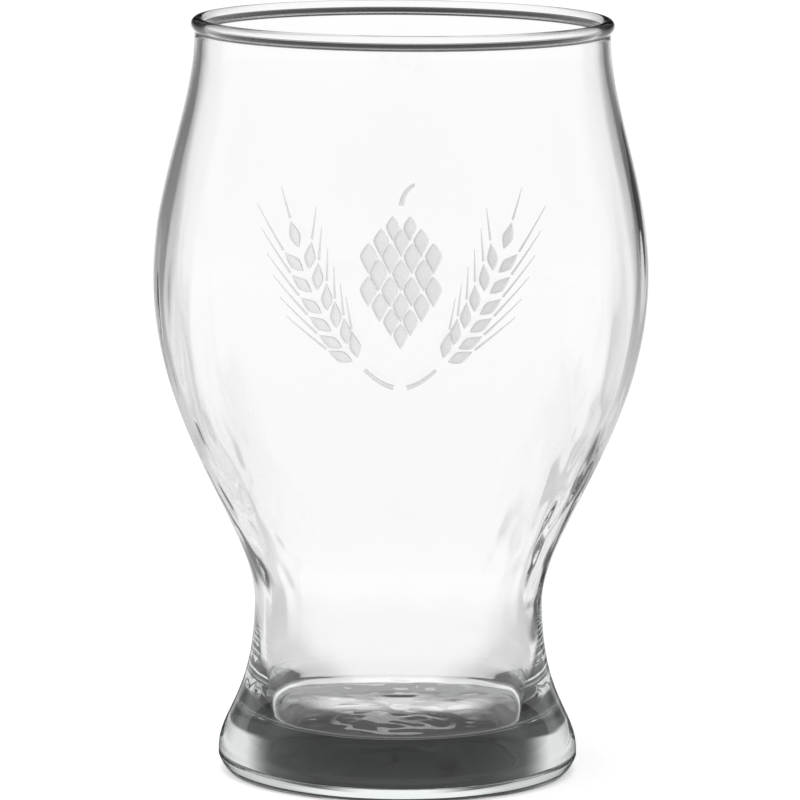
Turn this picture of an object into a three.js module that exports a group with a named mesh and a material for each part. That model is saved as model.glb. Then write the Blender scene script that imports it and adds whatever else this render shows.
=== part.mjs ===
// A waisted beer glass on a heavy foot, in millimetres, standing on z = 0 with its axis on +Z.
// In use it is one piece of clear glass. Its rim, bowl and foot are separate solids that meet on flat seats.
import * as THREE from "three";

// Heights above the table
const overallHeight = 146;
const bellyHeight = 96.6;
const waistHeight = 33;
const footHeight = 6;
const edgeHeight = 4;
const heelHeight = 3;

// Outside radii
const rimRadius = 40.5;
const neckRadius = 39.8;
const bellyRadius = 47.6;
const waistRadius = 27.8;
const footRadius = 34.7;
const standingRadius = 32.6;

// Glass thicknesses
const rimThickness = 2.5;
const bellyWall = 2.6;
const waistWall = 2.6;
const bowlFloor = 3.9;

// Inside of the bowl: a tight corner, a ring of floor that slopes to the middle, and a flat pool
const wellRadius = 26.2;
const wellCorner = 1.4;
const floorSlopeDegrees = 14;
const floorRing = 4;
const poolRadius = 19;
const poolDepth = 1.2;

// Hollow under the foot, inside the standing ring
const standingRingWidth = 3;
const hollowDepth = 0.5;

// How far the heel swells from a straight chamfer towards a square corner, as a share
const heelBulge = 0.3;

// How far each curve keeps going upright where it leaves a station, as a share of its rise
const neckEase = 0.29;
const bellyEaseUp = 0.38;
const bellyEaseDown = 0.476;
const waistEaseUp = 0.234;
const waistEaseDown = 0.652;
const edgeEase = 0.243;
const wellEase = 0.4;

// Fineness of the turned surfaces and of the search for a height on a curve
const turnSegments = 48;
const wallSteps = 10;
const edgeSteps = 5;
const halvings = 40;

// The bead is half round on top and flush with the wall inside
const beadRadius = rimThickness / 2;
const beadHeight = overallHeight - beadRadius;
const rimSeatHeight = overallHeight - rimThickness;
const mouthRadius = rimRadius - rimThickness;

// A curve between two stations of the outline that leaves both of them upright
function uprightCurve(from, to, easeFrom, easeTo) {
  const rise = to.y - from.y;
  const leaving = new THREE.Vector2(from.x, from.y + rise * easeFrom);
  const arriving = new THREE.Vector2(to.x, to.y - rise * easeTo);
  return new THREE.CubicBezierCurve(from, leaving, arriving, to);
}

// Where a rising curve passes a height, as its parameter from 0 to 1, found by halving
function parameterAt(curve, height) {
  let low = 0;
  let high = 1;
  for (let halving = 0; halving < halvings; halving += 1) {
    const middle = (low + high) / 2;
    if (curve.getPoint(middle).y < height) {
      low = middle;
    } else {
      high = middle;
    }
  }
  return (low + high) / 2;
}

// Points along a stretch of a curve, both ends included
function stretch(curve, steps, start = 0, end = 1) {
  const shares = Array.from({ length: steps + 1 }, (_, step) => step / steps);
  return shares.map((share) => curve.getPoint(start + (end - start) * share));
}

// Turns an outline of radius and height about the upright axis
function turned(name, outline, colour) {
  const geometry = new THREE.LatheGeometry(outline, turnSegments);
  geometry.rotateX(Math.PI / 2);
  const clearGlass = new THREE.MeshStandardMaterial({ color: colour, roughness: 0.04, metalness: 0 });
  const mesh = new THREE.Mesh(geometry, clearGlass);
  mesh.name = name;
  return mesh;
}

// The flare under the waist, shared by the bowl and the foot, and the place where the bowl's seat crosses it
const outerEdge = new THREE.Vector2(footRadius, edgeHeight);
const outerWaist = new THREE.Vector2(waistRadius, waistHeight);
const flare = uprightCurve(outerEdge, outerWaist, edgeEase, waistEaseDown);
const seatOnFlare = parameterAt(flare, footHeight);
const seatRadius = flare.getPoint(seatOnFlare).x;
const bowlSeat = new THREE.Vector2(seatRadius, footHeight);

// Bead around the mouth: flush with the wall inside, standing a little proud of the neck outside
function makeRim() {
  const innerSeat = new THREE.Vector2(mouthRadius, rimSeatHeight);
  const outerSeat = new THREE.Vector2(neckRadius, rimSeatHeight);
  const swell = new THREE.QuadraticBezierCurve(
    outerSeat,
    new THREE.Vector2(rimRadius, rimSeatHeight),
    new THREE.Vector2(rimRadius, beadHeight),
  );
  const crown = new THREE.ArcCurve(rimRadius - beadRadius, beadHeight, beadRadius, 0, Math.PI);
  const outline = [innerSeat, ...stretch(swell, edgeSteps), ...stretch(crown, 2 * edgeSteps), innerSeat];
  return turned("rim", outline, "#e9eeec");
}

// Wall and floor: the outside runs up from the foot, the inside comes back down to the axis
function makeBowl() {
  const floorHeight = footHeight + bowlFloor;
  const outerBelly = new THREE.Vector2(bellyRadius, bellyHeight);
  const outerNeck = new THREE.Vector2(neckRadius, rimSeatHeight);
  const innerNeck = new THREE.Vector2(mouthRadius, rimSeatHeight);
  const innerBelly = new THREE.Vector2(bellyRadius - bellyWall, bellyHeight);
  const innerWaist = new THREE.Vector2(waistRadius - waistWall, waistHeight);
  const innerWell = new THREE.Vector2(wellRadius, floorHeight + wellCorner);
  const floorSlope = THREE.MathUtils.degToRad(floorSlopeDegrees);
  const cornerRound = new THREE.ArcCurve(
    wellRadius - wellCorner,
    floorHeight + wellCorner,
    wellCorner,
    0,
    floorSlope - Math.PI / 2,
    true,
  );
  const floorEdge = cornerRound.getPoint(1);
  const downTheRing = new THREE.Vector2(-floorRing, 0).rotateAround(new THREE.Vector2(), floorSlope);
  const poolHeight = floorHeight - poolDepth;
  const floorCurve = new THREE.CubicBezierCurve(
    floorEdge,
    floorEdge.clone().add(downTheRing),
    new THREE.Vector2(poolRadius, poolHeight),
    new THREE.Vector2(0, poolHeight),
  );
  const outline = [
    new THREE.Vector2(0, footHeight),
    bowlSeat,
    ...stretch(flare, wallSteps, seatOnFlare, 1),
    ...stretch(uprightCurve(outerWaist, outerBelly, waistEaseUp, bellyEaseDown), wallSteps),
    ...stretch(uprightCurve(outerBelly, outerNeck, bellyEaseUp, neckEase), wallSteps),
    ...stretch(uprightCurve(innerNeck, innerBelly, neckEase, bellyEaseUp), wallSteps),
    ...stretch(uprightCurve(innerBelly, innerWaist, bellyEaseDown, waistEaseUp), wallSteps),
    ...stretch(uprightCurve(innerWaist, innerWell, wellEase, wellEase), wallSteps),
    ...stretch(cornerRound, edgeSteps),
    ...stretch(floorCurve, wallSteps),
  ];
  return turned("bowl", outline, "#e6ecea");
}

// Solid glass under the floor: domed hollow, flat standing ring, heel that swells up to a crease, flare
function makeFoot() {
  const hollowRadius = standingRadius - standingRingWidth;
  const hollow = new THREE.QuadraticBezierCurve(
    new THREE.Vector2(0, hollowDepth),
    new THREE.Vector2(hollowRadius / 2, hollowDepth),
    new THREE.Vector2(hollowRadius, 0),
  );
  const heelStart = new THREE.Vector2(standingRadius, 0);
  const heelEnd = new THREE.Vector2(footRadius, heelHeight);
  const squareCorner = new THREE.Vector2(footRadius, 0);
  const heelPull = heelStart.clone().lerp(heelEnd, 0.5).lerp(squareCorner, heelBulge);
  const heel = new THREE.QuadraticBezierCurve(heelStart, heelPull, heelEnd);
  const outline = [
    ...stretch(hollow, edgeSteps),
    ...stretch(heel, edgeSteps),
    ...stretch(flare, edgeSteps, 0, seatOnFlare),
    bowlSeat,
    new THREE.Vector2(0, footHeight),
  ];
  return turned("foot", outline, "#dfe7e4");
}

const glass = new THREE.Group();
glass.add(makeFoot(), makeBowl(), makeRim());

export default glass;
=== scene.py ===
import math

import bpy
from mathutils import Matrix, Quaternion, Vector, noise


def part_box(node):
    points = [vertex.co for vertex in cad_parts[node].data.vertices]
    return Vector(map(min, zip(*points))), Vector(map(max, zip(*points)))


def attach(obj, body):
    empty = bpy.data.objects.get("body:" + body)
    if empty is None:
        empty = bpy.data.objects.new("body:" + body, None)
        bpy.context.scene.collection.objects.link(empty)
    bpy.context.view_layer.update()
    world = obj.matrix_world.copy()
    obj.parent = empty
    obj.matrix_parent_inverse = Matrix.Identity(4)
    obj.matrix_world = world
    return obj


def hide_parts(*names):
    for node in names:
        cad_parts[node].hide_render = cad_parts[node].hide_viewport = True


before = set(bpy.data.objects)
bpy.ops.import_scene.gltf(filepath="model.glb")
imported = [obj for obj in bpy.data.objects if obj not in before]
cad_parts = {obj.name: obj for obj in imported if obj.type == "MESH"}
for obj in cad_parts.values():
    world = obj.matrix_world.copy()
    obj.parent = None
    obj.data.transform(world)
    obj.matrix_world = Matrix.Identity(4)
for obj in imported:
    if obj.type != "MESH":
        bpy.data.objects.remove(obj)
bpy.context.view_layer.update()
scene = bpy.context.scene
mm = 0.001


# sRGB hex to the linear colour that shader sockets take
def linearFromHex(hexText):
    channels = [int(hexText[i:i + 2], 16) / 255 for i in (1, 3, 5)]
    linear = [c / 12.92 if c <= 0.04045 else ((c + 0.055) / 1.055) ** 2.4 for c in channels]
    return (*linear, 1.0)


# adds one node: its settings, then its sockets by name or number
# a socket is linked where another socket is given, or a node, whose first output is meant
def addNode(tree, kind, settings=None, sockets=None):
    node = tree.nodes.new(kind)
    for name, value in (settings or {}).items():
        setattr(node, name, value)
    for key, value in (sockets or {}).items():
        if isinstance(value, bpy.types.Node):
            value = value.outputs[0]
        if isinstance(value, bpy.types.NodeSocket):
            tree.links.new(value, node.inputs[key])
        else:
            node.inputs[key].default_value = value
    return node


def startMaterial(name):
    material = bpy.data.materials.new(name)
    material.use_nodes = True
    material.node_tree.nodes.clear()
    return material, material.node_tree


def addObject(name, points, faces, material, smooth=True):
    mesh = bpy.data.meshes.new(name)
    mesh.from_pydata([tuple(p) for p in points], [], faces)
    mesh.materials.append(material)
    mesh.polygons.foreach_set("use_smooth", [smooth] * len(faces))
    mesh.update()
    piece = bpy.data.objects.new(name, mesh)
    scene.collection.objects.link(piece)
    return piece


glassBody = {
    "bellyHeight": 96.6 * mm,
    "waistHeight": 33 * mm,
    "edgeHeight": 4 * mm,
    "heelHeight": 3 * mm,
    "neckRadius": 39.8 * mm,
    "waistRadius": 27.8 * mm,
    "standingRadius": 32.6 * mm,
    "neckWall": 1.5 * mm,
    "bellyWall": 2.6 * mm,
    "waistWall": 2.6 * mm,
    "beadRadius": 1.35 * mm,
    "beadTuckOut": 52,          # how far the round of the bead goes on below its widest line, in degrees
    "beadTuckIn": 40,
    "beadBlend": 1.0 * mm,      # height of the hollow curve from the neck into the bead
    "blendPull": 0.4 * mm,
    "floorHeight": 9.9 * mm,
    "wellRadius": 26.2 * mm,
    "wellCorner": 1.4 * mm,
    "dishSlope": 14,            # of the floor where it meets the corner, in degrees
    "dishPull": 4 * mm,         # width of the sloping ring round the flat middle
    "poolPull": 19 * mm,
    "dishDepth": 1.2 * mm,
    "dishSteps": 32,
    "floorLean": 0.5 * mm,      # the middle of the floor sank a little more to one side
    "ringWidth": 3 * mm,
    "hollowDepth": 0.5 * mm,
    "heelBulge": 0.3,           # 0 is a straight chamfer, 1 a square corner
    "edgeEase": 0.243,          # how long each curve stays upright, as a share of its rise
    "waistEaseDown": 0.652,
    "waistEaseUp": 0.234,
    "bellyEaseDown": 0.476,
    "bellyEaseUp": 0.38,
    "neckEase": 0.29,
    "wellEase": 0.4,
    "floorWave": 0.26 * mm,     # height of the waves that the hot glass left inside
    "cornerWave": 0.06 * mm,
    "calmHeight": (28 * mm, 42 * mm),   # the wall is even up to the first height, and wavy from the second
    "waistWave": 0.3 * mm,
    "bellyWave": 0.08 * mm,
    "hollowWave": 0.05 * mm,
    "waveAcross": 7 * mm,       # half a wave round the wall and over the floor
    "waveAlong": 34 * mm,       # half a wave up the wall
    "fineShare": 0.45,          # height of the waves half as long, as a share
    "stepAlong": 0.8 * mm,      # fineness of the outline
    "stepFine": 0.4 * mm,       # in the foot, where the glass bends the most
    "stepBead": 0.133 * mm,     # round the bead of the rim
    "heelSteps": 16,
    "blendSteps": 8,
    "stepsRound": 288,          # and of the turn
}

glassColours = {
    "depthTint": "#cfe6df",     # what a metre of it lets through, before the density
    "tintDensity": 3.0,
    "ior": 1.52,
    "peelSize": 5 * mm,         # faint orange peel from the mould and the flame
    "peelDepth": 0.002 * mm,
    "wearHeight": 0.04 * mm,    # the standing ring is scuffed dull by table tops
    "wearRoughness": 0.35,
}


# Soda-lime glass, blown in a mould and fire-polished: clear and bright, grey-green only where it is thick,
# with a skin so faintly uneven that it only shows as soft streaks at the edges
def makeSodaLimeGlass(c):
    material, tree = startMaterial("soda_lime_glass_fire_polished")
    place = addNode(tree, "ShaderNodeTexCoord")
    peel = addNode(tree, "ShaderNodeTexNoise", {"noise_dimensions": "3D"}, {
        "Vector": place.outputs["Object"], "Scale": 1 / c["peelSize"], "Detail": 1.0, "Roughness": 0.4})
    skin = addNode(tree, "ShaderNodeBump", None, {
        "Height": peel, "Distance": c["peelDepth"], "Strength": 1.0})
    spot = addNode(tree, "ShaderNodeSeparateXYZ", None, {0: place.outputs["Object"]})
    wear = addNode(tree, "ShaderNodeMapRange", None, {
        "Value": spot.outputs["Z"],
        "From Min": c["wearHeight"], "From Max": 0.0, "To Max": c["wearRoughness"]})
    surface = addNode(tree, "ShaderNodeBsdfPrincipled", None, {
        "Base Color": (1, 1, 1, 1), "Roughness": wear, "IOR": c["ior"],
        "Transmission Weight": 1.0, "Normal": skin})
    depth = addNode(tree, "ShaderNodeVolumeAbsorption", None, {
        "Color": linearFromHex(c["depthTint"]), "Density": c["tintDensity"]})
    addNode(tree, "ShaderNodeOutputMaterial", None, {"Surface": surface, "Volume": depth})
    return material


fewestSteps = 8                 # on even the shortest curve


# cubic curve between a and d, pulled towards b and c
def bezierRun(a, b, c, d, count):
    shares = [i / count for i in range(count + 1)]
    return [a * (1 - t) ** 3 + b * 3 * t * (1 - t) ** 2 + c * 3 * t * t * (1 - t) + d * t ** 3
            for t in shares]


# points from one station to the next, leaving both of them upright
def uprightRun(start, end, easeStart, easeEnd, step):
    rise = end.y - start.y
    leave = Vector((start.x, start.y + rise * easeStart))
    arrive = Vector((end.x, end.y - rise * easeEnd))
    return bezierRun(start, leave, arrive, end, max(fewestSteps, round((end - start).length / step)))


def arcRun(centre, radius, angleStart, angleEnd, step):
    count = max(fewestSteps, round(abs(angleEnd - angleStart) * radius / step))
    angles = [angleStart + (angleEnd - angleStart) * i / count for i in range(count + 1)]
    return [centre + heading(a) * radius for a in angles]


def heading(angle):
    return Vector((math.cos(angle), math.sin(angle)))


def straightRun(start, end, step):
    count = max(1, round((end - start).length / step))
    return [start.lerp(end, i / count) for i in range(count + 1)]


def joinRuns(runs, closest=1e-6):
    outline = []
    for point in [p for run in runs for p in run]:
        if not outline or (point - outline[-1]).length > closest:
            outline.append(point)
    return outline


# stations of the outline as radius and height, with the outer sizes taken from the frame
def glassStations(g):
    rimLow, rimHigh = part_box("rim")
    rimRadius = rimHigh.x
    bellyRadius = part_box("bowl")[1].x
    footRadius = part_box("foot")[1].x
    neckHeight = rimLow.z - g["beadBlend"]
    corner = Vector((g["wellRadius"] - g["wellCorner"], g["floorHeight"] + g["wellCorner"]))
    return {
        "hollowEnd": Vector((g["standingRadius"] - g["ringWidth"], 0)),
        "ring": Vector((g["standingRadius"], 0)),
        "crease": Vector((footRadius, g["heelHeight"])),
        "edge": Vector((footRadius, g["edgeHeight"])),
        "waist": Vector((g["waistRadius"], g["waistHeight"])),
        "belly": Vector((bellyRadius, g["bellyHeight"])),
        "neck": Vector((g["neckRadius"], neckHeight)),
        "beadCentre": Vector((rimRadius - g["beadRadius"], rimHigh.z - g["beadRadius"])),
        "innerNeck": Vector((g["neckRadius"] - g["neckWall"], neckHeight)),
        "innerBelly": Vector((bellyRadius - g["bellyWall"], g["bellyHeight"])),
        "innerWaist": Vector((g["waistRadius"] - g["waistWall"], g["waistHeight"])),
        "well": corner + Vector((g["wellCorner"], 0)),
        "cornerCentre": corner,
        "dishEdge": corner + heading(math.radians(g["dishSlope"] - 90)) * g["wellCorner"],
        "floorMiddle": Vector((0, g["floorHeight"] - g["dishDepth"])),
    }


# domed hollow under the foot, from its middle to the standing ring
def hollowRun(g, s):
    count = round(s["hollowEnd"].x / g["stepAlong"])
    shares = [i / count for i in range(count + 1)]
    return [Vector((s["hollowEnd"].x * t, g["hollowDepth"] * (1 - t * t))) for t in shares]


# heel from the standing ring up to the crease under the upright edge, with one pull shared by both ends
def heelRun(g, s):
    middle = s["ring"].lerp(s["crease"], 0.5)
    pull = middle.lerp(Vector((s["crease"].x, s["ring"].y)), g["heelBulge"])
    return bezierRun(s["ring"], s["ring"].lerp(pull, 2 / 3), s["crease"].lerp(pull, 2 / 3), s["crease"],
                     g["heelSteps"])


# outer wall from the upright edge of the foot to the neck, also used to lay the frosting on the bowl
def outerWallRuns(g, s):
    step = g["stepAlong"]
    return [
        straightRun(s["crease"], s["edge"], step),
        uprightRun(s["edge"], s["waist"], g["edgeEase"], g["waistEaseDown"], g["stepFine"]),
        uprightRun(s["waist"], s["belly"], g["waistEaseUp"], g["bellyEaseDown"], step),
        uprightRun(s["belly"], s["neck"], g["bellyEaseUp"], g["neckEase"], step),
    ]


# round bead on the mouth, with a small hollow curve into the neck on both sides
def rimRuns(g, s):
    tuckOut = -math.radians(g["beadTuckOut"])
    tuckIn = math.pi + math.radians(g["beadTuckIn"])
    bead = arcRun(s["beadCentre"], g["beadRadius"], tuckOut, tuckIn, g["stepBead"])
    up = Vector((0, g["blendPull"]))
    into = heading(tuckOut + math.pi / 2) * g["blendPull"]
    away = heading(tuckIn + math.pi / 2) * g["blendPull"]
    return [
        bezierRun(s["neck"], s["neck"] + up, bead[0] - into, bead[0], g["blendSteps"]),
        bead,
        bezierRun(bead[-1], bead[-1] + away, s["innerNeck"] + up, s["innerNeck"], g["blendSteps"]),
    ]


# wall, corner and floor inside, from the neck down to the middle
def innerRuns(g, s):
    step = g["stepAlong"]
    slope = math.radians(g["dishSlope"])
    return [
        uprightRun(s["innerNeck"], s["innerBelly"], g["neckEase"], g["bellyEaseUp"], step),
        uprightRun(s["innerBelly"], s["innerWaist"], g["bellyEaseDown"], g["waistEaseUp"], step),
        uprightRun(s["innerWaist"], s["well"], g["wellEase"], g["wellEase"], g["stepFine"]),
        arcRun(s["cornerCentre"], g["wellCorner"], 0, slope - math.pi / 2, g["stepFine"]),
        bezierRun(s["dishEdge"], s["dishEdge"] - heading(slope) * g["dishPull"],
                  s["floorMiddle"] + Vector((g["poolPull"], 0)), s["floorMiddle"], g["dishSteps"]),
    ]


# value between stops, straight from one to the next
def blendAt(value, stops):
    for (low, atLow), (high, atHigh) in zip(stops, stops[1:]):
        if value <= high:
            share = max(0, (value - low) / (high - low))
            return atLow + (atHigh - atLow) * share
    return stops[-1][1]


# how high the waves are at each point of the outline: none outside and at the rim, low in the corner
def waveHeights(g, s, hollow, outside, wall, floor):
    wallStops = [(g["calmHeight"][0], g["cornerWave"]), (g["calmHeight"][1], g["waistWave"]),
                 (g["bellyHeight"], g["bellyWave"]), (s["innerNeck"].y, 0)]
    hollowStops = [(0, g["hollowWave"]), (s["hollowEnd"].x, 0)]
    floorStops = [(g["poolPull"], g["floorWave"]), (s["dishEdge"].x, g["cornerWave"])]
    under = [blendAt(p.x, hollowStops) for p in hollow]
    within = [blendAt(p.y, wallStops) for p in wall] + [blendAt(p.x, floorStops) for p in floor]
    return under + [0] * len(outside) + within


# turns the outline about the axis; the waves push each point along the outline's own normal
def turnedGlass(g, material):
    s = glassStations(g)
    hollow = hollowRun(g, s)
    outside = joinRuns([[hollow[-1]], straightRun(s["hollowEnd"], s["ring"], g["stepAlong"]),
                        heelRun(g, s), *outerWallRuns(g, s), *rimRuns(g, s)])[1:]
    inside = joinRuns([[outside[-1]], *innerRuns(g, s)])[1:]
    outline = hollow + outside + inside
    floorStart = len(outline) - g["dishSteps"]
    waves = waveHeights(g, s, hollow, outside, inside[:-g["dishSteps"]], outline[floorStart:])
    steps = g["stepsRound"]
    turns = [heading(2 * math.pi * k / steps) for k in range(steps)]
    points = [Vector((0, 0, outline[0].y))]
    for i in range(1, len(outline) - 1):
        p = outline[i]
        along = (outline[i + 1] - outline[i - 1]).normalized()
        share = p.x / s["dishEdge"].x
        lean = g["floorLean"] * share * (1 - share * share) ** 2 if i >= floorStart else 0
        for turn in turns:
            spot = Vector((*(turn * p.x / g["waveAcross"]), p.y / g["waveAlong"]))
            push = waves[i] * (noise.noise(spot) + g["fineShare"] * noise.noise(spot * 2)) if waves[i] else 0
            flat = turn * (p.x + along.y * push)
            points.append(Vector((*flat, p.y - along.x * push - lean * turn.y)))
    points.append(Vector((0, 0, outline[-1].y)))
    last = len(points) - 1
    topRing = last - steps
    faces = [(0, 1 + (k + 1) % steps, 1 + k) for k in range(steps)]
    for low in range(1, topRing, steps):
        faces += [(low + k, low + (k + 1) % steps, low + steps + (k + 1) % steps, low + steps + k)
                  for k in range(steps)]
    faces += [(topRing + k, topRing + (k + 1) % steps, last) for k in range(steps)]
    return addObject("glass_body", points, faces, material)


glass = turnedGlass(glassBody, makeSodaLimeGlass(glassColours))
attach(glass, "root")
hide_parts("rim", "bowl", "foot")
print("glass body turned:", len(glass.data.vertices), "points")


# barley and a hop cone, laid out on the unrolled front of the bowl: across from its middle, and height
barleyAndHop = {
    "lift": 0.02 * mm,          # back of a flake over the wall; touching it, it would look wet from behind
    "plateau": 0.05 * mm,       # front of a flake over the wall, with a low ridge along the edges
    "ridge": 0.46 * mm,
    "bevel": 0.3 * mm,          # from the ridge down to the plateau
    "bevelShare": 0.6,          # at most this much of a narrow flake's half-width
    "tip": 0.06 * mm,
    "steps": 12,
    "leafSkew": 0.85,           # below 1, a leaf is widest nearer to where it grows
    "leafRound": 1.3,           # 1 is a plain lozenge, 2 a rounded leaf
    "coneMiddle": 101 * mm,
    # scales in each row from the top down, and their size
    "coneRows": ((2, 0.8), (3, 0.92), (4, 1.0), (3, 1.04), (4, 1.0), (3, 0.96), (2, 0.9), (1, 0.85)),
    "scaleAcross": 4.0 * mm,    # from one scale of the cone to the next, and from row to row
    "scaleDown": 3.0 * mm,
    "scaleHalf": (1.6 * mm, 2.8 * mm),
    "stalk": ((0.0, 115.2), (0.2, 117), (1.0, 118.2), (2.4, 119)),      # curves in millimetres
    "stalkHalf": (0.5 * mm, 0.3 * mm),
    "ear": ((6.5, 84.5), (11, 89), (16, 97), (19.5, 107)),
    "earSteps": 100,
    "straw": ((1.2, 81.4), (3, 81.8), (4.6, 82.8), (6.6, 84.7)),
    "strawHalf": (0.42 * mm, 0.3 * mm),
    "pairs": 6,
    "pairShares": (0.14, 0.86),     # first and last pair of grains along the ear
    "grainTurn": 28,            # away from the ear, in degrees
    "grainLength": 5.0 * mm,
    "grainHalf": 1.08 * mm,
    "grainSide": 0.6 * mm,
    "awnTurns": (30, 14),       # on the side of the cone and on the far side
    "awnLengths": (6 * mm, 10 * mm),
    "awnHalf": 0.21 * mm,
    "awnGap": 0.5 * mm,
}

frostColours = {
    "frost": "#e5e5e5",
    "shadow": "#d7d7d7",
    "grainSize": 0.35 * mm,     # crystals that the acid leaves, drawn coarse enough to show
    "grainDepth": 0.012 * mm,
    "roughness": 0.85,
    "specular": 0.2,
}


# Acid-etched frosting: matt and pale grey, with a fine sugary grain
def makeFrost(c):
    material, tree = startMaterial("acid_etched_frost")
    place = addNode(tree, "ShaderNodeTexCoord")
    grain = addNode(tree, "ShaderNodeTexNoise", {"noise_dimensions": "3D"}, {
        "Vector": place.outputs["Object"], "Scale": 1 / c["grainSize"], "Detail": 2.0, "Roughness": 0.6})
    tone = addNode(tree, "ShaderNodeMix", {"data_type": "RGBA"}, {
        "Factor": grain, 6: linearFromHex(c["shadow"]), 7: linearFromHex(c["frost"])})
    skin = addNode(tree, "ShaderNodeBump", None, {"Height": grain, "Distance": c["grainDepth"]})
    surface = addNode(tree, "ShaderNodeBsdfPrincipled", None, {
        "Base Color": tone.outputs[2], "Roughness": c["roughness"],
        "Specular IOR Level": c["specular"], "Normal": skin})
    addNode(tree, "ShaderNodeOutputMaterial", None, {"Surface": surface})
    return material


def inMillimetres(pairs):
    return [Vector(pair) * mm for pair in pairs]


def turnedBy(direction, degrees):
    angle = math.atan2(direction.y, direction.x) + math.radians(degrees)
    return heading(angle)


# half-widths along a leaf shape
def leafHalves(width, f):
    skewed = [(i / f["steps"]) ** f["leafSkew"] for i in range(f["steps"] + 1)]
    return [max(f["tip"], width * (1 - abs(2 * t - 1) ** f["leafRound"])) for t in skewed]


# half-widths along an even taper
def taperHalves(start, end, f):
    return [start + (end - start) * i / f["steps"] for i in range(f["steps"] + 1)]


# scales of the hop cone in rows, and its stalk
def coneBlades(f):
    blades = [(bezierRun(*inMillimetres(f["stalk"]), f["steps"]), taperHalves(*f["stalkHalf"], f))]
    height = f["coneMiddle"] + f["scaleDown"] * sum(size for _, size in f["coneRows"]) / 2
    for count, size in f["coneRows"]:
        height -= f["scaleDown"] * size / 2
        half, reach = f["scaleHalf"][0] * size, f["scaleHalf"][1] * size
        for k in range(count):
            across = (k - (count - 1) / 2) * f["scaleAcross"] * size
            line = straightRun(Vector((across, height + reach)), Vector((across, height - reach)),
                               2 * reach / f["steps"])
            blades.append((line, leafHalves(half, f)))
        height -= f["scaleDown"] * size / 2
    return blades


# one ear: grains in pairs along a bowed line, each with its awn, and the straw
def earBlades(f):
    line = bezierRun(*inMillimetres(f["ear"]), f["earSteps"])
    blades = [(bezierRun(*inMillimetres(f["straw"]), f["steps"]), taperHalves(*f["strawHalf"], f))]
    first, last = f["pairShares"]
    spots = [first + (last - first) * i / (f["pairs"] - 1) for i in range(f["pairs"])]
    places = [(spot, side) for spot in spots for side in (1, -1)] + [(1.0, 0)]
    for spot, side in places:
        at = round(spot * f["earSteps"])
        along = (line[min(at + 1, f["earSteps"])] - line[at - 1]).normalized()
        start = line[at] + turnedBy(along, 90) * side * f["grainSide"]
        end = start + turnedBy(along, side * f["grainTurn"]) * f["grainLength"]
        blades.append((straightRun(start, end, f["grainLength"] / f["steps"]), leafHalves(f["grainHalf"], f)))
        far = 1 if side == -1 else 0
        way = turnedBy(along, side * f["awnTurns"][far])
        root = end + way * f["awnGap"]
        length = f["awnLengths"][far]
        blades.append((straightRun(root, root + way * length, length / f["steps"]),
                       taperHalves(f["awnHalf"], f["tip"], f)))
    return blades


# where a place on the unrolled wall is in space, a little out of the wall
def onWall(wall, across, height, out):
    for low, high in zip(wall, wall[1:]):
        if low.y <= height <= high.y:
            spot = low.lerp(high, (height - low.y) / (high.y - low.y))
            along = (high - low).normalized()
            break
    angle = across / spot.x
    radius = spot.x + along.y * out
    return Vector((radius * math.sin(angle), -radius * math.cos(angle), height - along.x * out))


# closes each blade of the motif to a thin flake that follows the wall
def frostedMotif(f, g, material):
    wall = joinRuns(outerWallRuns(g, glassStations(g)))
    ears = earBlades(f)
    mirrored = [([Vector((-p.x, p.y)) for p in line], halves) for line, halves in ears]
    points, faces = [], []
    for line, halves in coneBlades(f) + ears + mirrored:
        first = len(points)
        for i, (spot, half) in enumerate(zip(line, halves)):
            along = (line[min(i + 1, len(line) - 1)] - line[max(i - 1, 0)]).normalized()
            across = Vector((-along.y, along.x))
            bevel = min(f["bevel"], f["bevelShare"] * half)
            ridge = f["plateau"] + (f["ridge"] - f["plateau"]) * bevel / f["bevel"]
            section = [(-half, f["lift"]), (-half, ridge), (bevel - half, f["plateau"]), (0, f["plateau"]),
                       (half - bevel, f["plateau"]), (half, ridge), (half, f["lift"]), (0, f["lift"])]
            for side, out in section:
                flat = spot + across * side
                points.append(onWall(wall, flat.x, flat.y, out))
        around = len(section)
        for low in range(first, len(points) - around, around):
            faces += [(low + k, low + around + k, low + around + (k + 1) % around, low + (k + 1) % around)
                      for k in range(around)]
        faces.append(tuple(range(first, first + around)))
        faces.append(tuple(range(len(points) - 1, len(points) - 1 - around, -1)))
    return addObject("etched_barley_and_hop", points, faces, material, smooth=False)


motif = frostedMotif(barleyAndHop, glassBody, makeFrost(frostColours))
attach(motif, "root")
print("motif laid on the bowl:", len(motif.data.polygons), "faces")


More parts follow.
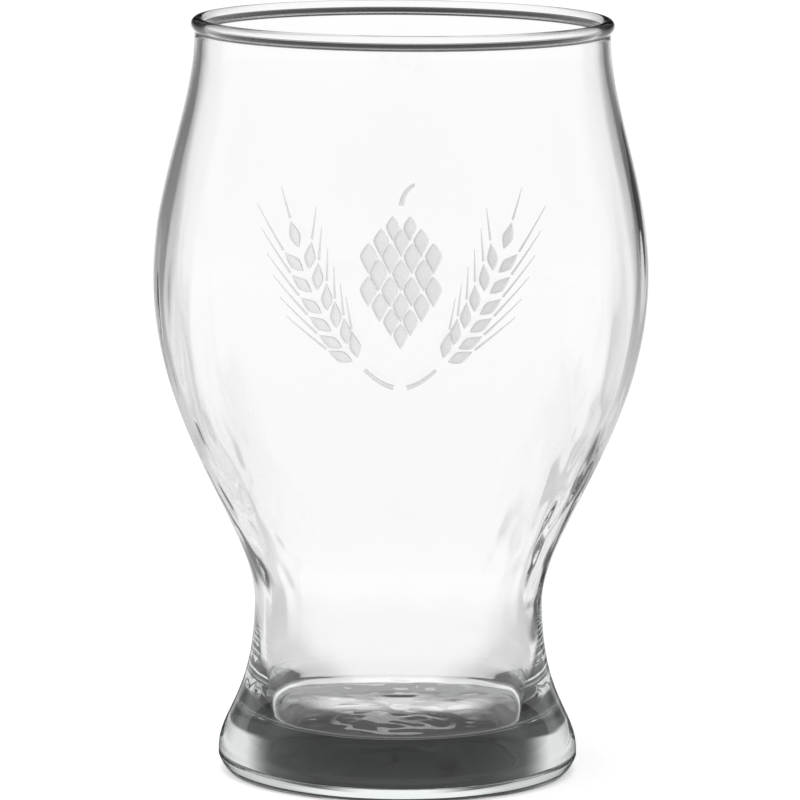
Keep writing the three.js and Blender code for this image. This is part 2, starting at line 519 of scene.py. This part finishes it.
# Tones are shares of plain white. A pair of numbers is where a soft edge starts and where it is complete:
# edges go by the cosine of the turn from straight behind, rises by how far up a direction points
studio = {
    "floorHalf": 4.0,
    "floorDrop": 0.02 * mm,
    "paper": 0.5,                   # share of the light that the floor gives back
    "paperGlow": 0.68,              # lifts the floor to plain white in the picture
    "contactReach": 8 * mm,         # how far the painted contact shade under the foot spreads
    "contactOpen": 0.5,             # share of open sky at which the shade ends
    "contactTone": 0.35,
    "poolTone": 0.62,               # painted pool of light on the floor round the glass, and what lies past it
    "poolReach": 450 * mm,
    "pastTone": 0.15,
    "laneEdge": (0.925, 0.985),     # painted white lane straight behind
    "laneEnd": (2.1, 1.75),         # its far end, in metres
    "mirroredLane": 0.9,
    "openEdge": (0.79, 0.66),       # painted: the floor at the sides and in front is pale, and so is the room past it
    "openTone": 0.92,
    "roomEdge": (0.3, 0.05),
    "roomRise": (0.0, 0.6),
    "roomTone": 0.55,
    "clearEdge": (0.78, 0.64),      # seen straight through the glass, the sides are plain white
    "clearTone": 0.6,               # least tone of the floor that is seen straight through
    "discReach": (27 * mm, 33 * mm),    # painted shade: the paper under the foot is dim
    "discTone": 0.2,
    "wallTone": 0.02,               # dark wall behind, paler at its foot
    "horizonTone": 0.17,
    "wallRise": (0.0, 0.1),
    "cardEdge": (0.85, 0.67),       # white cards left and right of the wall
    "cardHigh": (0.225, 0.2),
    "sideEdge": (0.97, 0.8),        # faint glow on the wall above the cards
    "sideGlow": 0.06,
    "topRise": (0.38, 0.75),        # soft box overhead
    "topGlow": 0.5,
    "softLow": 0.33,                # soft light on matt surfaces, stronger from the upper left in front
    "softKey": 1.39,
    "softFrom": (-0.55, -0.6, 0.6),
}

# painted ovals of light and shade on the floor: a place is stretched and shifted, and its distance from the
# middle then gives the edge
floorOvals = {
    "paintedBrightSpot": {                 # painted bright spot on the paper behind the foot's middle, for light that the foot gathers there
        "stretch": (0.5, 1.0, 0.0), "shift": (0, -9 * mm, 0), "reach": (12 * mm, 7 * mm)},
    "footShade": {                  # painted shade of the foot on the paper in front, seen through the glass
        "stretch": (0.8, 1.0, 0.0), "shift": (0, 20 * mm, 0), "reach": (18 * mm, 27 * mm), "tone": 0.06},
    "mirrorShade": {                # the same painted shade, longer and mostly behind, where the foot mirrors it
        "stretch": (1.6, 1.0, 0.0), "shift": (0, -70 * mm, 0), "reach": (90 * mm, 130 * mm), "tone": 0.04},
    "paintedDarkOval": {                  # painted dark oval on the mirrored floor: draws a dark streak inside the right edge of the glass
        "stretch": (1.0, 1.0, 0.0), "shift": (-100 * mm, -126 * mm, 0), "reach": (30 * mm, 52 * mm),
        "tone": 0.12},
}

onceMirrored = 0.5                  # Glossy Depth is below this until a ray meets its first mirror


# soft edge round a painted oval on the floor
def ovalEdge(tree, place, oval):
    moved = addNode(tree, "ShaderNodeVectorMath", {"operation": "MULTIPLY_ADD"}, {
        0: place, 1: oval["stretch"], 2: oval["shift"]})
    away = addNode(tree, "ShaderNodeVectorMath", {"operation": "LENGTH"}, {0: moved})
    return addNode(tree, "ShaderNodeMapRange", {"interpolation_type": "SMOOTHSTEP"}, {
        "Value": away.outputs["Value"], "From Min": oval["reach"][0], "From Max": oval["reach"][1]})


# White paper sweep: matt, bright round the glass, with a painted soft shade where the foot stands. Through
# the glass and mirrored in it, the paper is not lit by the lamps but glows in painted light and shade: a
# white lane behind, a pool of light, grey past it
def makeSweepPaper(c, ovals):
    material, tree = startMaterial("white_paper_sweep")
    soft = {"interpolation_type": "SMOOTHSTEP"}
    path = addNode(tree, "ShaderNodeLightPath")
    # painted contact shade: ambient occlusion darkens the paper's colour and its glow round the foot
    shade = addNode(tree, "ShaderNodeAmbientOcclusion", {"samples": 8}, {"Distance": c["contactReach"]})
    paintedContactShade = addNode(tree, "ShaderNodeMapRange", None, {
        "Value": shade.outputs["AO"], "From Max": c["contactOpen"], "To Min": c["contactTone"]})
    tone = addNode(tree, "ShaderNodeMath", {"operation": "MULTIPLY"}, {0: paintedContactShade, 1: c["paper"]})
    lift = addNode(tree, "ShaderNodeMath", {"operation": "MULTIPLY"}, {0: paintedContactShade, 1: c["paperGlow"]})
    paper = addNode(tree, "ShaderNodeBsdfDiffuse", None, {"Color": tone})
    glow = addNode(tree, "ShaderNodeEmission", None, {"Strength": lift})
    plain = addNode(tree, "ShaderNodeAddShader", None, {0: paper, 1: glow})
    # painted pool of light, falling off with the distance from the glass
    place = addNode(tree, "ShaderNodeNewGeometry")
    away = addNode(tree, "ShaderNodeVectorMath", {"operation": "LENGTH"}, {0: place})
    distance = away.outputs["Value"]
    share = addNode(tree, "ShaderNodeMath", {"operation": "DIVIDE"}, {0: distance, 1: c["poolReach"]})
    fall = addNode(tree, "ShaderNodeMath", {"operation": "MULTIPLY_ADD"}, {0: share, 1: share, 2: 1.0})
    pool = addNode(tree, "ShaderNodeMath", {"operation": "DIVIDE"}, {0: c["poolTone"], 1: fall})
    lit = addNode(tree, "ShaderNodeMath", {"operation": "ADD"}, {0: pool, 1: c["pastTone"]})
    # painted white lane behind, painted pale room at the sides and in front
    turn = addNode(tree, "ShaderNodeVectorMath", {"operation": "NORMALIZE"}, {0: place})
    back = addNode(tree, "ShaderNodeSeparateXYZ", None, {0: turn}).outputs["Y"]
    lane = addNode(tree, "ShaderNodeMapRange", soft, {
        "Value": back, "From Min": c["laneEdge"][0], "From Max": c["laneEdge"][1]})
    laneEnd = addNode(tree, "ShaderNodeMapRange", soft, {
        "Value": distance, "From Min": c["laneEnd"][0], "From Max": c["laneEnd"][1]})
    laneSpan = addNode(tree, "ShaderNodeMath", {"operation": "MULTIPLY"}, {0: lane, 1: laneEnd})
    least = addNode(tree, "ShaderNodeMath", {"operation": "MAXIMUM"}, {0: lit, 1: c["clearTone"]})
    ended = addNode(tree, "ShaderNodeMix", None, {"Factor": laneEnd, "A": lit, "B": least})
    withLane = addNode(tree, "ShaderNodeMix", None, {"Factor": laneSpan, "A": ended, "B": 1.0})
    pale = addNode(tree, "ShaderNodeMapRange", soft, {
        "Value": back, "From Min": c["openEdge"][0], "From Max": c["openEdge"][1]})
    dull = addNode(tree, "ShaderNodeMix", None, {"Factor": lane, "A": lit, "B": c["mirroredLane"]})
    mirrored = addNode(tree, "ShaderNodeMix", None, {"Factor": pale, "A": dull, "B": c["openTone"]})
    clear = addNode(tree, "ShaderNodeMapRange", soft, {
        "Value": back, "From Min": c["clearEdge"][0], "From Max": c["clearEdge"][1]})
    through = addNode(tree, "ShaderNodeMix", None, {"Factor": clear, "A": withLane, "B": 1.0})
    # mirrored, the floor has a painted dark oval and the painted long shade of the foot
    paintedOval, farShade = ovals["paintedDarkOval"], ovals["mirrorShade"]
    withPaintedOval = addNode(tree, "ShaderNodeMix", None, {
        "Factor": ovalEdge(tree, place, paintedOval), "A": paintedOval["tone"], "B": mirrored})
    # painted long shade of the foot on the mirrored floor
    mirrorTone = addNode(tree, "ShaderNodeMix", None, {
        "Factor": ovalEdge(tree, place, farShade), "A": farShade["tone"], "B": withPaintedOval})
    # straight through the foot, the paper is dim with painted shade but for the painted bright spot
    nearShade = ovals["footShade"]
    disc = addNode(tree, "ShaderNodeMapRange", soft, {
        "Value": distance, "From Min": c["discReach"][0], "From Max": c["discReach"][1]})
    bright = addNode(tree, "ShaderNodeMath", {"operation": "MAXIMUM"}, {
        0: disc, 1: ovalEdge(tree, place, ovals["paintedBrightSpot"])})
    dimmed = addNode(tree, "ShaderNodeMix", None, {"Factor": bright, "A": c["discTone"], "B": through})
    # painted shade under the foot, as the glass shows it
    throughTone = addNode(tree, "ShaderNodeMix", None, {
        "Factor": ovalEdge(tree, place, nearShade), "A": nearShade["tone"], "B": dimmed})
    isMirrored = addNode(tree, "ShaderNodeMath", {"operation": "GREATER_THAN"}, {
        0: path.outputs["Glossy Depth"], 1: onceMirrored})
    seen = addNode(tree, "ShaderNodeMix", None, {"Factor": isMirrored, "A": throughTone, "B": mirrorTone})
    # painted light and shade: the floor as the glass shows it is a glow in these tones
    inGlass = addNode(tree, "ShaderNodeEmission", None, {"Strength": seen})
    direct = addNode(tree, "ShaderNodeMath", {"operation": "MAXIMUM"}, {
        0: path.outputs["Is Camera Ray"], 1: path.outputs["Is Diffuse Ray"]})
    mix = addNode(tree, "ShaderNodeMixShader", None, {0: direct, 1: inGlass, 2: plain})
    addNode(tree, "ShaderNodeOutputMaterial", None, {"Surface": mix})
    return material


def makeFloor(c, ovals):
    half = c["floorHalf"]
    corners = [(-half, -half, 0), (half, -half, 0), (half, half, 0), (-half, half, 0)]
    floor = addObject("floor", corners, [(0, 1, 2, 3)], makeSweepPaper(c, ovals))
    floor.location.z = -c["floorDrop"]


# cards stand upright behind the glass; half gives the full half-width and where it starts to fade
lowCard = {
    "behind": 250 * mm,
    "half": (70 * mm, 20 * mm),
    "rise": (0, 60 * mm),
    "tone": 1.0,
    "mirrored": False,              # lights up the heel, straight through the glass
}

stripLight = {
    "behind": 120 * mm,
    "half": (30 * mm, 15 * mm),
    "rise": (40 * mm, 55 * mm),
    "tone": 1.4,
    "mirrored": True,               # draws the white streak that the floor of the bowl mirrors
}


# White diffuser, lit from behind: it shows only through the glass or only mirrored in it
def makeCard(name, c):
    material, tree = startMaterial("white_diffuser_" + name)
    path = addNode(tree, "ShaderNodeLightPath")
    side = "GREATER_THAN" if c["mirrored"] else "LESS_THAN"
    wanted = addNode(tree, "ShaderNodeMath", {"operation": side}, {
        0: path.outputs["Glossy Depth"], 1: onceMirrored})
    shown = addNode(tree, "ShaderNodeMath", {"operation": "MULTIPLY"}, {
        0: path.outputs["Is Transmission Ray"], 1: wanted})
    place = addNode(tree, "ShaderNodeNewGeometry")
    across = addNode(tree, "ShaderNodeSeparateXYZ", None, {0: place}).outputs["X"]
    aside = addNode(tree, "ShaderNodeMath", {"operation": "ABSOLUTE"}, {0: across})
    edge = addNode(tree, "ShaderNodeMapRange", {"interpolation_type": "SMOOTHSTEP"}, {
        "Value": aside, "From Min": c["half"][0], "From Max": c["half"][1]})
    cover = addNode(tree, "ShaderNodeMath", {"operation": "MULTIPLY"}, {0: shown, 1: edge})
    nothing = addNode(tree, "ShaderNodeBsdfTransparent")
    white = addNode(tree, "ShaderNodeEmission", None, {"Strength": c["tone"]})
    mix = addNode(tree, "ShaderNodeMixShader", None, {0: cover, 1: nothing, 2: white})
    addNode(tree, "ShaderNodeOutputMaterial", None, {"Surface": mix})
    half, behind, (low, high) = c["half"][0], c["behind"], c["rise"]
    corners = [(-half, behind, low), (half, behind, low), (half, behind, high), (-half, behind, high)]
    addObject(name, corners, [(0, 1, 2, 3)], material)


# White to the eye. The glass shows the studio: a dark wall behind, white cards at both sides, a soft box
# overhead, a pale room in front. Matt surfaces get soft light from the upper left
def makeWorld(c):
    world = bpy.data.worlds.new("studio")
    scene.world = world
    world.use_nodes = True
    tree = world.node_tree
    tree.nodes.clear()
    soft = {"interpolation_type": "SMOOTHSTEP"}
    path = addNode(tree, "ShaderNodeLightPath")
    place = addNode(tree, "ShaderNodeTexCoord")
    look = place.outputs["Generated"]
    rise = addNode(tree, "ShaderNodeSeparateXYZ", None, {0: look}).outputs["Z"]
    level = addNode(tree, "ShaderNodeVectorMath", {"operation": "MULTIPLY"}, {0: look, 1: (1, 1, 0)})
    turn = addNode(tree, "ShaderNodeVectorMath", {"operation": "NORMALIZE"}, {0: level})
    back = addNode(tree, "ShaderNodeSeparateXYZ", None, {0: turn}).outputs["Y"]
    wall = addNode(tree, "ShaderNodeMapRange", soft, {
        "Value": rise, "From Min": c["wallRise"][0], "From Max": c["wallRise"][1],
        "To Min": c["horizonTone"], "To Max": c["wallTone"]})
    sideGlow = addNode(tree, "ShaderNodeMapRange", soft, {
        "Value": back, "From Min": c["sideEdge"][0], "From Max": c["sideEdge"][1], "To Max": c["sideGlow"]})
    topGlow = addNode(tree, "ShaderNodeMapRange", soft, {
        "Value": rise, "From Min": c["topRise"][0], "From Max": c["topRise"][1], "To Max": c["topGlow"]})
    glow = addNode(tree, "ShaderNodeMath", {"operation": "ADD"}, {0: sideGlow, 1: topGlow})
    lit = addNode(tree, "ShaderNodeMath", {"operation": "ADD"}, {0: wall, 1: glow})
    # white cards
    cardEdge = addNode(tree, "ShaderNodeMapRange", soft, {
        "Value": back, "From Min": c["cardEdge"][0], "From Max": c["cardEdge"][1]})
    cardHigh = addNode(tree, "ShaderNodeMapRange", soft, {
        "Value": rise, "From Min": c["cardHigh"][0], "From Max": c["cardHigh"][1]})
    cards = addNode(tree, "ShaderNodeMath", {"operation": "MULTIPLY"}, {0: cardEdge, 1: cardHigh})
    withCards = addNode(tree, "ShaderNodeMix", None, {"Factor": cards, "A": lit, "B": 1.0})
    # pale room, and plain white past the wall where nothing in the glass mirrors it
    pale = addNode(tree, "ShaderNodeMapRange", soft, {
        "Value": back, "From Min": c["roomEdge"][0], "From Max": c["roomEdge"][1]})
    roomTone = addNode(tree, "ShaderNodeMapRange", None, {
        "Value": rise, "From Min": c["roomRise"][0], "From Max": c["roomRise"][1],
        "To Min": c["openTone"], "To Max": c["roomTone"]})
    room = addNode(tree, "ShaderNodeMix", None, {"Factor": pale, "A": withCards, "B": roomTone})
    clear = addNode(tree, "ShaderNodeMapRange", soft, {
        "Value": back, "From Min": c["clearEdge"][0], "From Max": c["clearEdge"][1]})
    isThrough = addNode(tree, "ShaderNodeMath", {"operation": "LESS_THAN"}, {
        0: path.outputs["Glossy Depth"], 1: onceMirrored})
    past = addNode(tree, "ShaderNodeMath", {"operation": "MULTIPLY"}, {0: clear, 1: isThrough})
    inGlass = addNode(tree, "ShaderNodeMix", None, {"Factor": past, "A": room, "B": 1.0})
    # soft light for matt surfaces
    towards = addNode(tree, "ShaderNodeVectorMath", {"operation": "DOT_PRODUCT"}, {
        0: look, 1: Vector(c["softFrom"]).normalized()})
    key = addNode(tree, "ShaderNodeMapRange", soft, {
        "Value": towards.outputs["Value"], "To Min": c["softLow"], "To Max": c["softLow"] + c["softKey"]})
    isMatt = addNode(tree, "ShaderNodeMath", {"operation": "MINIMUM"}, {
        0: path.outputs["Diffuse Depth"], 1: 1.0})
    mattThrough = addNode(tree, "ShaderNodeMath", {"operation": "MULTIPLY"}, {0: isMatt, 1: isThrough})
    lighting = addNode(tree, "ShaderNodeMix", None, {"Factor": mattThrough, "A": inGlass, "B": key})
    strength = addNode(tree, "ShaderNodeMix", None, {
        "Factor": path.outputs["Is Camera Ray"], "A": lighting, "B": 1.0})
    light = addNode(tree, "ShaderNodeBackground", None, {"Strength": strength})
    addNode(tree, "ShaderNodeOutputWorld", None, {"Surface": light})


makeFloor(studio, floorOvals)
makeCard("low_card", lowCard)
makeCard("strip_light", stripLight)
makeWorld(studio)
print("studio lit")


shot = {
    "distance": 1182.3 * mm,
    "height": 250.6 * mm,
    "pitch": 8.585,             # downwards, in degrees
    "roll": 0.43,
    "lens": 279.2,              # millimetres, on a sensor this wide
    "sensor": 36,
    "clipEnd": 50,              # metres
    "bounces": (32, 24, 24),    # in all, mirrored and through the glass: the foot bends light many times
}


def makeCamera(s):
    data = bpy.data.cameras.new("photo_view")
    data.lens = s["lens"]
    data.sensor_width = s["sensor"]
    data.clip_end = s["clipEnd"]
    camera = bpy.data.objects.new("photo_view", data)
    camera.location = (0, -s["distance"], s["height"])
    tilt = Quaternion((1, 0, 0), math.radians(90 - s["pitch"]))
    camera.rotation_mode = "QUATERNION"
    camera.rotation_quaternion = tilt @ Quaternion((0, 0, 1), math.radians(s["roll"]))
    scene.collection.objects.link(camera)
    scene.camera = camera


makeCamera(shot)
scene.view_settings.view_transform = "Standard"
scene.cycles.blur_glossy = 0    # the frosting gets its light through clear glass
scene.cycles.max_bounces, scene.cycles.glossy_bounces, scene.cycles.transmission_bounces = shot["bounces"]
print("camera set")
